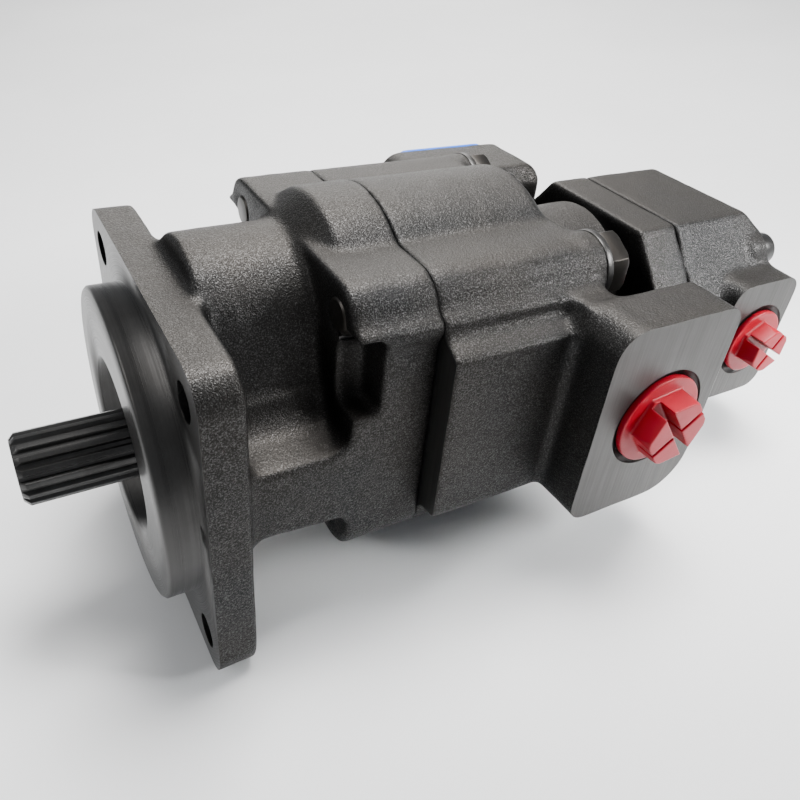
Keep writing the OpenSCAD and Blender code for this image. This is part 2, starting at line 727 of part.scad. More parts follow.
front_cover();
gear_housing();
rear_mounting_cover();
rear_gear_housing();
drive_gear_shaft();
driven_gear_shaft();
coupling_shaft();
rear_drive_gear_shaft();
rear_driven_gear_shaft();
front_drive_bushing();
front_driven_bushing();
back_drive_bushing();
back_driven_bushing();
rear_section_front_drive_bushing();
rear_section_front_driven_bushing();
rear_section_back_drive_bushing();
rear_section_back_driven_bushing();
front_thrust_plate();
back_thrust_plate();
rear_section_front_thrust_plate();
rear_section_back_thrust_plate();
shaft_seal();
seal_retaining_ring();
housing_seal();
rear_housing_seal();
adapter_o_ring();
through_bolts();
bolt_washers();
rear_cap_screws();
adapter_screws();
dowel_pins();
rear_dowel_pins();
outlet_plug();
rear_outlet_plug();
inlet_cap();
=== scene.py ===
"""Looks of a tandem hydraulic gear pump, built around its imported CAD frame.

The four castings are made the way real ones are: a raw casting with rounded edges and filleted corners is
grown from each CAD node, and its machined faces and bores are then cut to the exact CAD planes and walls.
"""

import json
import math

import bmesh
import bpy
import numpy as np
from mathutils import Matrix, Vector, noise


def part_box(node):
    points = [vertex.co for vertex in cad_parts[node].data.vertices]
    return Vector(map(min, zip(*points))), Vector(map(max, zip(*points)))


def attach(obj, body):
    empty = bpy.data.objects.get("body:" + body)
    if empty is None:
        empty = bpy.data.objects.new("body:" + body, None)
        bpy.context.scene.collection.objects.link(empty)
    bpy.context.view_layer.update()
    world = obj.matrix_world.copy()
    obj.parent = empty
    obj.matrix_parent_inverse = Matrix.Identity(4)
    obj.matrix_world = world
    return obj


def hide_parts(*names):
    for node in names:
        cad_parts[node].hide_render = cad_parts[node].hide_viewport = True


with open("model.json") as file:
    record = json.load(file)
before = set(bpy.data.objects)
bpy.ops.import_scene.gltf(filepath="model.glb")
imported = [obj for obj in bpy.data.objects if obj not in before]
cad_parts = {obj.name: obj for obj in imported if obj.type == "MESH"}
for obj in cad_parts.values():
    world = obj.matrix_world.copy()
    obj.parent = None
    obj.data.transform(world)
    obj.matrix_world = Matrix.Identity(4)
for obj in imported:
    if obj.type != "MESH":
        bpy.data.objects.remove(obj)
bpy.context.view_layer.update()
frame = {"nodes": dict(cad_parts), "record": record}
nodes = frame["nodes"]
MM = 0.001
HOUSING = "pump_housing"


# ------------------------------------------------------------------ mesh tools

def add_object(name, mesh):
    obj = bpy.data.objects.new(name, mesh)
    bpy.context.scene.collection.objects.link(obj)
    return obj


def drop(*objs):
    for obj in objs:
        mesh = obj.data
        bpy.data.objects.remove(obj)
        bpy.data.meshes.remove(mesh)


def apply_modifiers(obj):
    graph = bpy.context.evaluated_depsgraph_get()
    mesh = bpy.data.meshes.new_from_object(obj.evaluated_get(graph))
    old = obj.data
    obj.modifiers.clear()
    obj.data = mesh
    bpy.data.meshes.remove(old)


def paint(obj, skin):
    obj.data.materials.clear()
    obj.data.materials.append(skin)


def boolean(obj, other, operation):
    """Cuts, joins or intersects obj with another closed mesh, which brings its own material along."""
    modifier = obj.modifiers.new("boolean", "BOOLEAN")
    modifier.operation = operation
    modifier.object = other
    modifier.solver = "MANIFOLD"
    modifier.material_mode = "TRANSFER"
    apply_modifiers(obj)


def voxel_remesh(obj, size):
    modifier = obj.modifiers.new("remesh", "REMESH")
    modifier.mode = "VOXEL"
    modifier.voxel_size = size
    apply_modifiers(obj)


def points_of(mesh):
    co = np.empty(len(mesh.vertices) * 3, np.float32)
    mesh.vertices.foreach_get("co", co)
    return co.reshape(-1, 3)


def set_points(mesh, co):
    mesh.vertices.foreach_set("co", co.astype(np.float32).ravel())
    mesh.update()


def normals_of(mesh):
    no = np.empty(len(mesh.vertices) * 3, np.float32)
    mesh.vertices.foreach_get("normal", no)
    return no.reshape(-1, 3)


def swell(mesh, distance):
    set_points(mesh, points_of(mesh) + normals_of(mesh) * distance)


def relax(mesh, rounds, share=0.5):
    """Moves every vertex towards the middle of its neighbours, which rounds edges and corners alike."""
    edges = np.empty(len(mesh.edges) * 2, np.int32)
    mesh.edges.foreach_get("vertices", edges)
    a, b = edges.reshape(-1, 2).T
    count = len(mesh.vertices)
    degree = np.bincount(np.concatenate([a, b]), minlength=count).clip(1)
    co = points_of(mesh).astype(np.float64)
    for _ in range(rounds):
        for axis in range(3):
            column = co[:, axis]
            total = np.bincount(a, column[b], count) + np.bincount(b, column[a], count)
            co[:, axis] = column + share * (total / degree - column)
    set_points(mesh, co)


def roughen(mesh, depth, size, seed):
    """Gentle unevenness of a sand casting: hollows about size across and depth deep, never a rise."""
    offset = Vector((seed, 2 * seed, 3 * seed))
    height = [noise.noise(Vector(p) / size + offset) + 0.5 * noise.noise(Vector(p) * 2.3 / size + offset)
              for p in points_of(mesh).tolist()]
    move = np.minimum(np.array(height)[:, None] - 1.0, 0.0) * depth
    set_points(mesh, points_of(mesh) + normals_of(mesh) * move)


def welded(node):
    """A CAD node's mesh as one closed skin, in a new object."""
    bm = bmesh.new()
    bm.from_mesh(nodes[node].data)
    bmesh.ops.remove_doubles(bm, verts=bm.verts, dist=1e-7)
    mesh = bpy.data.meshes.new(node + "_skin")
    bm.to_mesh(mesh)
    bm.free()
    return add_object(mesh.name, mesh)


def solids(node):
    """The (lowest corner, highest corner) of each separate solid in a CAD node."""
    skin = welded(node)
    bm = bmesh.new()
    bm.from_mesh(skin.data)
    drop(skin)
    left = set(bm.verts)
    boxes = []
    while left:
        stack = [left.pop()]
        found = []
        while stack:
            vert = stack.pop()
            found.append(vert.co.copy())
            for edge in vert.link_edges:
                other = edge.other_vert(vert)
                if other in left:
                    left.remove(other)
                    stack.append(other)
        low = Vector([min(p[i] for p in found) for i in range(3)])
        high = Vector([max(p[i] for p in found) for i in range(3)])
        boxes.append((low, high))
    bm.free()
    return sorted(boxes, key=lambda pair: tuple(pair[0]))


def middle(box):
    return (box[0] + box[1]) / 2


TURN_TO = {"x": Matrix.Rotation(math.radians(90), 4, "Y"), "y": Matrix.Rotation(math.radians(-90), 4, "X")}


def bar(axis, centre, radius, start, stop, skin, segments=96):
    """Closed round bar along x or y, from start to stop, around centre."""
    bm = bmesh.new()
    bmesh.ops.create_cone(bm, cap_ends=True, segments=segments, radius1=radius, radius2=radius,
                          depth=stop - start)
    place = Vector(centre)
    place["xy".index(axis)] = (start + stop) / 2
    bmesh.ops.transform(bm, matrix=Matrix.Translation(place) @ TURN_TO[axis], verts=bm.verts)
    mesh = bpy.data.meshes.new("bar")
    bm.to_mesh(mesh)
    bm.free()
    mesh.materials.append(skin)
    return add_object("bar", mesh)


def slab(low, high, skin):
    """Closed box between two corners."""
    bm = bmesh.new()
    bmesh.ops.create_cube(bm, size=1.0)
    low, high = Vector(low), Vector(high)
    for vert in bm.verts:
        vert.co = Vector([low[i] + (vert.co[i] + 0.5) * (high[i] - low[i]) for i in range(3)])
    mesh = bpy.data.meshes.new("slab")
    bm.to_mesh(mesh)
    bm.free()
    mesh.materials.append(skin)
    return add_object("slab", mesh)


def finish_surface(obj, sharp_angle):
    """Smooth shading that breaks at sharp edges and where one finish meets another."""
    mesh = obj.data
    mesh.polygons.foreach_set("use_smooth", [True] * len(mesh.polygons))
    mesh.set_sharp_from_angle(angle=math.radians(sharp_angle))
    bm = bmesh.new()
    bm.from_mesh(mesh)
    for edge in bm.edges:
        if len({face.material_index for face in edge.link_faces}) > 1:
            edge.smooth = False
    bm.to_mesh(mesh)
    bm.free()


def stand_in(obj, name, node, body, sharp_angle):
    """Finishes a piece, which then stands for its CAD node and moves with a body."""
    obj.name = name
    finish_surface(obj, sharp_angle)
    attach(obj, body)
    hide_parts(node)


# ------------------------------------------------------------------ materials

class Skin:
    """A node material under construction: short calls that add and link shader nodes."""

    def __init__(self, name):
        self.material = bpy.data.materials.new(name)
        self.material.use_nodes = True
        self.tree = self.material.node_tree
        self.shader = self.tree.nodes["Principled BSDF"]
        self.place = self.add("ShaderNodeTexCoord").outputs["Object"]

    def add(self, kind, **inputs):
        node = self.tree.nodes.new(kind)
        for key, value in inputs.items():
            self.put(node.inputs[key.replace("_", " ")], value)
        return node

    def put(self, socket, value):
        if isinstance(value, bpy.types.NodeSocket):
            self.tree.links.new(value, socket)
        else:
            socket.default_value = value

    def noise(self, scale, detail=3.0, roughness=0.55, stretch=(1, 1, 1), turn=(0, 0, 0)):
        """Noise with about scale features per metre; stretch and turn give it a grain direction."""
        mapping = self.add("ShaderNodeMapping", Vector=self.place, Scale=stretch, Rotation=turn)
        node = self.add("ShaderNodeTexNoise", Vector=mapping.outputs[0], Scale=scale, Detail=detail,
                        Roughness=roughness)
        return node.outputs["Fac"]

    def ramp(self, value, low, high, start=0.0, end=1.0):
        """Maps value from the range low..high to start..end."""
        node = self.add("ShaderNodeMapRange", Value=value)
        node.inputs["From Min"].default_value = low
        node.inputs["From Max"].default_value = high
        node.inputs["To Min"].default_value = start
        node.inputs["To Max"].default_value = end
        return node.outputs["Result"]

    def mix(self, share, first, second):
        node = self.add("ShaderNodeMix")
        node.data_type = "RGBA"
        self.put(node.inputs["Factor"], share)
        self.put(node.inputs[6], first)
        self.put(node.inputs[7], second)
        return node.outputs[2]

    def math(self, operation, first, second=0.0):
        node = self.add("ShaderNodeMath")
        node.operation = operation
        self.put(node.inputs[0], first)
        self.put(node.inputs[1], second)
        return node.outputs[0]

    def bump(self, height, depth, strength=1.0, under=None):
        node = self.add("ShaderNodeBump", Height=height, Distance=depth, Strength=strength)
        if under is not None:
            self.put(node.inputs["Normal"], under)
        return node.outputs["Normal"]

    def soft_edges(self, radius):
        """Normals that roll over sharp edges, as a broken edge catches the light."""
        node = self.add("ShaderNodeBevel", Radius=radius)
        node.samples = 4
        return node.outputs["Normal"]

    def cavity(self, distance):
        """1 in the open, falling to 0 in corners and pockets: the mask for painted shade."""
        node = self.add("ShaderNodeAmbientOcclusion", Distance=distance)
        node.samples = 4
        return node.outputs["AO"]

    def facing_up(self):
        geometry = self.add("ShaderNodeNewGeometry")
        split = self.add("ShaderNodeSeparateXYZ", Vector=geometry.outputs["Normal"])
        return split.outputs["Z"]

    def set(self, **inputs):
        for key, value in inputs.items():
            self.put(self.shader.inputs[key.replace("_", " ")], value)
        return self.material


def grey(value, warmth=0.0):
    return (value * (1 + warmth), value, value * (1 - warmth), 1.0)


def make_cast_iron():
    """Shot-blasted iron: dense fine grain that sparkles, with warm oil stains, upward faces painted lighter
    as if lit from above, and painted shade in pockets and corners.
    """
    skin = Skin("cast_iron_skin")
    grain = skin.noise(2000, 1.5, 0.5)
    pebbles = skin.noise(850, 2.0, 0.5)
    stains = skin.noise(15, 4.0, 0.6)
    patches = skin.noise(60, 3.0, 0.6)
    base = skin.mix(skin.ramp(stains, 0.40, 0.66), grey(0.018, 0.0), grey(0.022, 0.10))
    base = skin.mix(skin.ramp(patches, 0.35, 0.75, 0.0, 0.35), base, grey(0.013, 0.03))
    base = skin.mix(skin.ramp(grain, 0.50, 0.72, 0.0, 0.48), base, grey(0.12, 0.01))
    base = skin.mix(skin.ramp(grain, 0.45, 0.28, 0.0, 0.55), base, grey(0.006, 0.02))
    # painted light: upward-facing surfaces made lighter and warmer, as where the light from above falls on
    # them
    base = skin.mix(skin.ramp(skin.facing_up(), 0.80, 1.0, 0.0, 0.30), base, grey(0.075, 0.10))
    # painted shade: near-black in tight corners and creases, and over a broader reach in pockets and under
    # overhangs
    base = skin.mix(skin.ramp(skin.cavity(0.012), 0.25, 0.90, 0.94, 0.0), base, grey(0.004, 0.03))
    base = skin.mix(skin.ramp(skin.cavity(0.050), 0.30, 0.72, 0.70, 0.0), base, grey(0.006, 0.03))
    rough = skin.ramp(grain, 0.35, 0.7, 0.58, 0.38)
    normal = skin.bump(pebbles, 0.0004, 0.55)
    normal = skin.bump(grain, 0.00025, 0.8, normal)
    return skin.set(Base_Color=base, Metallic=0.9, Roughness=rough, Normal=normal)


def make_milled(name, tone, turn, across=900):
    """Milled iron face: straight fine cutter marks with a soft directional sheen."""
    skin = Skin(name)
    marks = skin.noise(across, 3.0, 0.6, stretch=(1.0, 1.0, 0.03), turn=turn)
    fine = skin.noise(2600, 2.0, 0.5)
    cloud = skin.noise(45, 4.0, 0.6)
    base = skin.mix(skin.ramp(cloud, 0.35, 0.7), grey(tone * 0.82, 0.03), grey(tone, 0.02))
    base = skin.mix(skin.ramp(marks, 0.3, 0.7, 0.0, 0.3), base, grey(tone * 0.6, 0.04))
    rough = skin.ramp(marks, 0.3, 0.7, 0.30, 0.46)
    normal = skin.bump(marks, 0.00008, 0.5, skin.soft_edges(0.0005))
    normal = skin.bump(fine, 0.00004, 0.4, normal)
    return skin.set(Base_Color=base, Metallic=0.9, Roughness=rough, Normal=normal)


def make_turned(name, tone):
    """Lathe-turned iron around the drive axis: fine rings."""
    skin = Skin(name)
    split = skin.add("ShaderNodeSeparateXYZ", Vector=skin.place)
    y2 = skin.math("MULTIPLY", split.outputs["Y"], split.outputs["Y"])
    z2 = skin.math("MULTIPLY", split.outputs["Z"], split.outputs["Z"])
    radius = skin.math("SQRT", skin.math("ADD", y2, z2))
    rings = skin.add("ShaderNodeCombineXYZ", X=split.outputs["X"], Y=radius, Z=0.0)
    lines = skin.add("ShaderNodeTexNoise", Vector=rings.outputs[0], Scale=2200, Detail=2.0).outputs["Fac"]
    bands = skin.add("ShaderNodeTexNoise", Vector=rings.outputs[0], Scale=260, Detail=3.0).outputs["Fac"]
    cloud = skin.noise(38, 4.0, 0.6)
    base = skin.mix(skin.ramp(bands, 0.3, 0.7), grey(tone * 0.75, 0.02), grey(tone, 0.02))
    base = skin.mix(skin.ramp(cloud, 0.45, 0.7, 0.0, 0.5), base, grey(tone * 0.45, 0.05))
    rough = skin.ramp(lines, 0.3, 0.7, 0.26, 0.42)
    normal = skin.bump(lines, 0.00006, 0.5, skin.soft_edges(0.0006))
    return skin.set(Base_Color=base, Metallic=0.92, Roughness=rough, Normal=normal)


def make_steel(name, tone, roughness, warmth=0.0, edge=0.00025, oxide=0.3):
    """Turned or forged steel with a thin, uneven oxide and lighter worn edges."""
    skin = Skin(name)
    cloud = skin.noise(120, 4.0, 0.6)
    fine = skin.noise(1800, 2.0, 0.5)
    base = skin.mix(skin.ramp(cloud, 0.35, 0.7), grey(tone, warmth), grey(tone * (1 + oxide), warmth * 0.5))
    base = skin.mix(skin.ramp(fine, 0.5, 0.8, 0.0, 0.4), base, grey(tone * 1.8, warmth))
    rough = skin.ramp(cloud, 0.3, 0.7, roughness * 1.15, roughness * 0.85)
    normal = skin.bump(fine, 0.00005, 0.5, skin.soft_edges(edge))
    return skin.set(Base_Color=base, Metallic=0.9, Roughness=rough, Normal=normal)


def make_plastic(name, colour, deep, roughness=0.34):
    """Moulded thermoplastic: slight flow clouds, fine satin texture and light under the skin."""
    skin = Skin(name)
    cloud = skin.noise(90, 3.0, 0.5)
    fine = skin.noise(1400, 3.0, 0.5)
    flow = skin.noise(220, 2.0, 0.5)
    base = skin.mix(skin.ramp(cloud, 0.35, 0.7, 0.0, 0.5), colour, deep)
    rough = skin.ramp(flow, 0.3, 0.7, roughness * 1.15, roughness * 0.85)
    normal = skin.bump(flow, 0.00012, 0.35)
    normal = skin.bump(fine, 0.00003, 0.5, normal)
    material = skin.set(Base_Color=base, Roughness=rough, Normal=normal, Subsurface_Weight=0.12,
                        Subsurface_Scale=0.002, Specular_IOR_Level=0.25)
    skin.shader.inputs["Subsurface Radius"].default_value = (1.0, 0.25, 0.2)
    return material


def make_rubber():
    skin = Skin("seal_rubber_skin")
    fine = skin.noise(900, 3.0, 0.6)
    base = skin.mix(skin.ramp(fine, 0.35, 0.7), grey(0.012), grey(0.03, 0.05))
    return skin.set(Base_Color=base, Roughness=skin.ramp(fine, 0.3, 0.7, 0.5, 0.62),
                    Normal=skin.bump(fine, 0.00008, 0.5))


def make_bronze():
    skin = Skin("bronze_skin")
    cloud = skin.noise(80, 4.0, 0.6)
    fine = skin.noise(2000, 2.0, 0.5)
    base = skin.mix(skin.ramp(cloud, 0.35, 0.7), (0.42, 0.26, 0.11, 1), (0.56, 0.38, 0.18, 1))
    return skin.set(Base_Color=base, Metallic=0.95, Roughness=skin.ramp(cloud, 0.3, 0.7, 0.38, 0.28),
                    Normal=skin.bump(fine, 0.00004, 0.5, skin.soft_edges(0.0003)))


cast_iron = make_cast_iron()
milled_port = make_milled("milled_port_skin", 0.070, (0, math.radians(-35), 0))
milled_joint = make_milled("milled_joint_skin", 0.07, (math.radians(20), 0, 0))
spot_faced = make_milled("spot_faced_skin", 0.045, (0, math.radians(55), 0), across=1600)
turned_iron = make_turned("turned_iron_skin", 0.06)
bored_iron = make_turned("bored_iron_skin", 0.03)
black_oxide = make_steel("black_oxide_skin", 0.040, 0.34, 0.02, oxide=0.5)
bolt_steel = make_steel("bolt_steel_skin", 0.028, 0.36, 0.12, edge=0.0004)
washer_steel = make_steel("washer_steel_skin", 0.045, 0.38, 0.03)
ground_steel = make_steel("ground_steel_skin", 0.50, 0.22, 0.0)
red_plastic = make_plastic("red_plastic_skin", (0.32, 0.001, 0.013, 1), (0.22, 0.001, 0.008, 1))
blue_plastic = make_plastic("blue_plastic_skin", (0.004, 0.12, 0.62, 1), (0.002, 0.08, 0.46, 1))
rubber = make_rubber()
bronze = make_bronze()


# ------------------------------------------------------------------ positions read from the CAD frame

AXIS = (0.0, 0.0, 0.0)
JOINT_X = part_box("gear_housing")[0].x
NECK_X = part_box("rear_mounting_cover")[0].x
REAR_JOINT_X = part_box("rear_gear_housing")[0].x
DRIVEN = middle(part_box("driven_gear_shaft"))
REAR_DRIVEN = middle(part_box("rear_driven_gear_shaft"))
BOLTS = solids("through_bolts")
WASHERS = solids("bolt_washers")
CAP_SCREWS = solids("rear_cap_screws")
ADAPTER_SCREWS = solids("adapter_screws")
DOWELS = solids("dowel_pins")
REAR_DOWELS = solids("rear_dowel_pins")
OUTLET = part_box("outlet_plug")
REAR_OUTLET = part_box("rear_outlet_plug")
INLET_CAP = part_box("inlet_cap")
FLANGE = next(mount["dims"] for mount in frame["record"]["mounts"] if mount["name"] == "flange_bolts")
HOLE_Y = HOLE_Z = FLANGE["spacing_x_mm"] / 2 * MM
HOLE_RADIUS = FLANGE["hole_r_mm"] * MM
INLET_SCREW_X = 17.85 * MM
INLET_SCREW_Z = 34.93 * MM
CAP_SCREW_SEAT = 290 * MM

FAR = 0.2                    # reaches past the outside of any casting
PAST = 10 * MM               # how far a bore's bar runs out beyond a machined face
CAST_VOXEL = 1.0 * MM
FILLET = 2.2 * MM            # radius that fills the inner corners of a casting
HOLLOW_DEPTH = 0.2 * MM      # unevenness of the cast surface
HOLLOW_SIZE = 14 * MM
STOCK = 6 * MM               # metal left on a face until it is machined
SEAM_STOCK = 0.8 * MM        # so little that the edges of a joint stay rounded and show as a seam
REAR_SEAM_STOCK = 0.4 * MM
SEAM_GAP = 0.1 * MM          # how far each casting stops short of the joint plane
NECK_REACH = 42 * MM         # wider than the neck, and clear of the port bosses
SLIVER = 0.005 * MM


# ------------------------------------------------------------------ castings

def extend(obj, axis, plane, distance):
    """Adds machining stock: moves the face that lies on a plane along its axis by distance."""
    index = "xyz".index(axis)
    for vert in obj.data.vertices:
        if abs(vert.co[index] - plane) < 2e-5:
            vert.co[index] += distance


def join_into(obj, pieces):
    """Puts the pieces' faces into obj's mesh, without working out where they cross."""
    bm = bmesh.new()
    bm.from_mesh(obj.data)
    for piece in pieces:
        bm.from_mesh(piece.data)
    bm.to_mesh(obj.data)
    bm.free()


def raw_casting(node, stock, faces, seed):
    """Rounded and filleted casting around a CAD node, its bores filled and its machined faces proud."""
    obj = welded(node)
    for axis, plane, distance in faces:
        extend(obj, axis, plane, distance)
    join_into(obj, stock)
    voxel_remesh(obj, CAST_VOXEL)
    swell(obj.data, FILLET)
    voxel_remesh(obj, CAST_VOXEL)
    relax(obj.data, 2)
    swell(obj.data, -FILLET)
    voxel_remesh(obj, CAST_VOXEL)
    relax(obj.data, 7)
    roughen(obj.data, HOLLOW_DEPTH, HOLLOW_SIZE, seed)
    paint(obj, cast_iron)
    return obj


def machine(obj, node, skin, bores, cuts):
    """Cuts the bores exactly as the CAD node has them, then the plain cuts.

    A bar of bores is only a zone that is wider than its bore: the part of it that the CAD node fills is
    taken off first, so what is cut is the CAD node's own hollow.
    """
    cutter = bores[0]
    for bore in bores[1:]:
        boolean(cutter, bore, "UNION")
    walls = welded(node)
    paint(walls, skin)
    boolean(cutter, walls, "DIFFERENCE")
    boolean(obj, cutter, "DIFFERENCE")
    for cut in cuts:
        boolean(obj, cut, "DIFFERENCE")
    drop(walls, *bores, *cuts)


def clear_slivers(obj):
    """Closes up edges and faces of next to no size that cutting leaves, and drops pairs of loose faces."""
    bm = bmesh.new()
    bm.from_mesh(obj.data)
    for _ in range(2):
        bmesh.ops.remove_doubles(bm, verts=bm.verts, dist=SLIVER)
        bmesh.ops.dissolve_degenerate(bm, dist=SLIVER, edges=bm.edges)
        bmesh.ops.triangulate(bm, faces=bm.faces)
    flaps = [face for face in bm.faces
             if len({other for edge in face.edges for other in edge.link_faces}) == 2]
    bmesh.ops.delete(bm, geom=flaps, context="FACES")
    bm.to_mesh(obj.data)
    bm.free()


def casting(name, node, seed, skin, stock, bores, faces, cuts):
    obj = raw_casting(node, stock, faces, seed)
    drop(*stock)
    machine(obj, node, skin, bores, cuts)
    clear_slivers(obj)
    stand_in(obj, name, node, HOUSING, sharp_angle=38)


def bars_x(skin, radius, start, stop, centres):
    return [bar("x", centre, radius, start, stop, skin) for centre in centres]


def beyond(axis, plane, side, skin):
    """Slab that removes everything beyond a plane, on its + or - side."""
    index = "xyz".index(axis)
    low = [-FAR, -FAR, -FAR]
    high = [2 * FAR, FAR, FAR]
    if side > 0:
        low[index] = plane
    else:
        high[index] = plane
    return slab(low, high, skin)


def front_cover_bars(skin):
    bolts = [middle(box) for box in BOLTS]
    dowels = [middle(box) for box in DOWELS]
    pocket_x = JOINT_X - 32.4 * MM
    return (
        # open recess, seal bore and shaft bore
        bars_x(skin, 38.5 * MM, -20 * MM, 7.5 * MM, [AXIS])
        + bars_x(skin, 29 * MM, 2 * MM, 19.5 * MM, [AXIS])
        + bars_x(skin, 20.5 * MM, 10 * MM, JOINT_X + PAST, [AXIS])
        # bushing bores, bolt holes from the pockets back, and dowel holes
        + bars_x(skin, 24 * MM, JOINT_X - 30 * MM, JOINT_X + PAST, [AXIS, DRIVEN])
        + bars_x(skin, 9.5 * MM, pocket_x, JOINT_X + PAST, bolts)
        + bars_x(skin, 5.5 * MM, JOINT_X - 11 * MM, JOINT_X + PAST, dowels)
    )


FLANGE_HOLES = [(0, y, z) for y in (-HOLE_Y, HOLE_Y) for z in (-HOLE_Z, HOLE_Z)]


def make_front_cover():
    pilot_stock = bars_x(cast_iron, 66 * MM, -15 * MM, -2 * MM, [AXIS])
    hole_stock = bars_x(cast_iron, 9 * MM, -5 * MM, 15 * MM, FLANGE_HOLES)
    holes = bars_x(bored_iron, HOLE_RADIUS, -45 * MM, 30 * MM, FLANGE_HOLES)
    pilot_zone = bar("x", AXIS, 0.12, -45 * MM, 0.0, turned_iron, 128)
    return casting(
        "front_cover_casting", "front_cover", 7.0, turned_iron,
        stock=front_cover_bars(cast_iron) + pilot_stock + hole_stock,
        bores=[pilot_zone] + front_cover_bars(turned_iron),
        faces=[("x", 0.0, -STOCK), ("x", JOINT_X, SEAM_STOCK)],
        cuts=holes + [beyond("x", JOINT_X - SEAM_GAP, 1, milled_joint)])


def gear_housing_bars(skin):
    bolts = [middle(box) for box in BOLTS]
    dowels = [middle(box) for box in DOWELS]
    screws = [middle(box) for box in ADAPTER_SCREWS]
    outlet = middle(OUTLET)
    inlet = middle(INLET_CAP)
    bars = (
        # gear cavity with the bushing bores behind it, seal groove and shaft bore
        bars_x(skin, 31 * MM, JOINT_X - PAST, JOINT_X + 70 * MM, [AXIS, DRIVEN])
        + bars_x(skin, 38.5 * MM, JOINT_X - PAST, JOINT_X + 3 * MM, [AXIS, DRIVEN])
        + bars_x(skin, 20 * MM, JOINT_X + 60 * MM, NECK_X + PAST, [AXIS])
        # bolt holes, dowel holes and the threaded holes in the neck
        + bars_x(skin, 9.5 * MM, JOINT_X - PAST, JOINT_X + 85 * MM, bolts)
        + bars_x(skin, 5.5 * MM, JOINT_X - PAST, JOINT_X + 12 * MM, dowels)
        + bars_x(skin, 5.5 * MM, NECK_X - 19 * MM, NECK_X + PAST, screws)
    )
    bars.append(bar("y", outlet, 17 * MM, -105 * MM, -76 * MM, skin))
    bars.append(bar("y", inlet, 21 * MM, 76 * MM, 105 * MM, skin))
    for dx in (-INLET_SCREW_X, INLET_SCREW_X):
        for dz in (-INLET_SCREW_Z, INLET_SCREW_Z):
            bars.append(bar("y", inlet + Vector((dx, 0, dz)), 7 * MM, 73 * MM, 105 * MM, skin))
    return bars


def make_gear_housing():
    near_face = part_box("gear_housing")[0].y
    far_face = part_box("gear_housing")[1].y
    seat = min(box[0].x for box in WASHERS)
    seats = bars_x(milled_joint, 15.2 * MM, seat, seat + 15 * MM, [middle(box) for box in WASHERS])
    spotface = bar("y", middle(OUTLET), 22.9 * MM, near_face - PAST, near_face + 1.5 * MM, spot_faced)
    return casting(
        "gear_housing_casting", "gear_housing", 19.0, bored_iron,
        stock=gear_housing_bars(cast_iron) + bars_x(cast_iron, 14.5 * MM, seat - 8 * MM, seat + 6 * MM,
                                                   [middle(box) for box in WASHERS]),
        bores=gear_housing_bars(bored_iron),
        faces=[("x", JOINT_X, -SEAM_STOCK), ("x", NECK_X, STOCK), ("y", near_face, -STOCK),
               ("y", far_face, STOCK)],
        cuts=seats + [spotface,
                      beyond("x", JOINT_X + SEAM_GAP, -1, milled_joint),
                      slab((NECK_X, -NECK_REACH, -FAR), (2 * FAR, NECK_REACH, FAR), milled_joint),
                      beyond("y", near_face, -1, milled_port),
                      beyond("y", far_face, 1, milled_port)])


def rear_cover_bars(skin):
    screws = [middle(box) for box in CAP_SCREWS]
    adapter = [middle(box) for box in ADAPTER_SCREWS]
    dowels = [middle(box) for box in REAR_DOWELS]
    return (
        # bushing bores, shaft bores and the groove of the ring that seals the neck
        bars_x(skin, 17 * MM, REAR_JOINT_X - 21 * MM, REAR_JOINT_X + PAST, [AXIS, REAR_DRIVEN])
        + bars_x(skin, 14 * MM, NECK_X - PAST, REAR_JOINT_X, [AXIS, REAR_DRIVEN])
        + bars_x(skin, 23 * MM, NECK_X - PAST, NECK_X + 3 * MM, [AXIS])
        # counterbored screw holes, cap screw holes and dowel holes
        + bars_x(skin, 8 * MM, NECK_X - PAST, REAR_JOINT_X + PAST, adapter)
        + bars_x(skin, 6.5 * MM, 215 * MM, REAR_JOINT_X + PAST, screws)
        + bars_x(skin, 4.5 * MM, 229 * MM, REAR_JOINT_X + PAST, dowels)
    )


def make_rear_cover():
    return casting(
        "rear_mounting_cover_casting", "rear_mounting_cover", 31.0, bored_iron,
        stock=rear_cover_bars(cast_iron),
        bores=rear_cover_bars(bored_iron),
        faces=[("x", NECK_X, -STOCK), ("x", REAR_JOINT_X, REAR_SEAM_STOCK)],
        cuts=[beyond("x", NECK_X, -1, milled_joint), beyond("x", REAR_JOINT_X - SEAM_GAP, 1, milled_joint)])


def rear_housing_bars(skin):
    screws = [middle(box) for box in CAP_SCREWS]
    dowels = [middle(box) for box in REAR_DOWELS]
    outlet = middle(REAR_OUTLET)
    bars = (
        # gear cavity with the bushing bores behind it, seal groove, cap screw holes and dowel holes
        bars_x(skin, 24 * MM, REAR_JOINT_X - PAST, REAR_JOINT_X + 47 * MM, [AXIS, REAR_DRIVEN])
        + bars_x(skin, 28.5 * MM, REAR_JOINT_X - PAST, REAR_JOINT_X + 2.7 * MM, [AXIS, REAR_DRIVEN])
        + bars_x(skin, 6.5 * MM, REAR_JOINT_X - PAST, 305 * MM, screws)
        + bars_x(skin, 4.5 * MM, REAR_JOINT_X - PAST, REAR_JOINT_X + 8 * MM, dowels)
    )
    bars.append(bar("y", outlet, 14 * MM, -75 * MM, -46 * MM, skin))
    return bars


